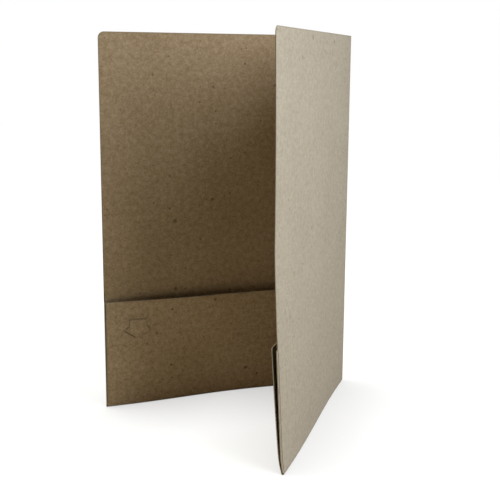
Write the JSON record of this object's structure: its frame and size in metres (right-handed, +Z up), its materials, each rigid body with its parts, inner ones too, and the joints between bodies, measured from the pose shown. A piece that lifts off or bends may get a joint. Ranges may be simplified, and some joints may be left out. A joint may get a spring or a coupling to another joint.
{
  "type": "two pocket folder",
  "caption": "Plain recycled chipboard document folder, standing open, with a tongue-locked pocket across the foot of each cover and a rounded spine crease.",
  "frame": {"origin": "centre of the open folder's bounding box, on the surface that its bottom folds stand on", "axes": "+Z up along the spine, +Y out of the front cover's outer face, +X along the front cover from its outer edge towards the spine"},
  "size_m": [0.22, 0.1736, 0.31],
  "materials": {
    "cover_board": "raw grey-brown recycled chipboard, matte, fine fibres and specks",
    "pocket_board": "the same raw chipboard, die cut",
    "crease_board": "the same raw chipboard, pressed and slightly rubbed along the creases"
  },
  "bodies": {
    "front_half": {"front_cover": "cover_board", "front_side_tab": "pocket_board", "front_tab_fold": "crease_board", "front_pocket_fold": "crease_board", "spine_fold": "crease_board"},
    "back_half": {"back_cover": "cover_board", "back_side_tab": "pocket_board", "back_tab_fold": "crease_board", "back_pocket_fold": "crease_board"},
    "front_pocket_panel": {"front_pocket": "pocket_board", "front_lock_tongue": "pocket_board"},
    "back_pocket_panel": {"back_pocket": "pocket_board", "back_lock_tongue": "pocket_board"}
  },
  "joints": [
    {"name": "spine_hinge", "type": "hinge", "parent": "front_half", "child": "back_half", "pos_m": [0.1067, 0.08347, 0.155], "axis": [0, 0, 1], "range_deg": [-50.9, 128.9], "deforming": ["spine_fold"]},
    {"name": "front_pocket_hinge", "type": "hinge", "parent": "front_half", "child": "front_pocket_panel", "pos_m": [-0.00135, 0.08557, 0.0012], "axis": [1, 0, 0], "range_deg": [-4.58, 11.6]},
    {"name": "back_pocket_hinge", "type": "hinge", "parent": "back_half", "child": "back_pocket_panel", "pos_m": [0.04033, -0.00182, 0.0012], "axis": [-0.6293, -0.7771, 0], "range_deg": [-4.58, 11.6]}
  ],
  "couplings": [
    {"joint": "front_pocket_hinge", "follows": "spine_hinge", "ratio": 0.09},
    {"joint": "back_pocket_hinge", "follows": "spine_hinge", "ratio": 0.09}
  ]
}
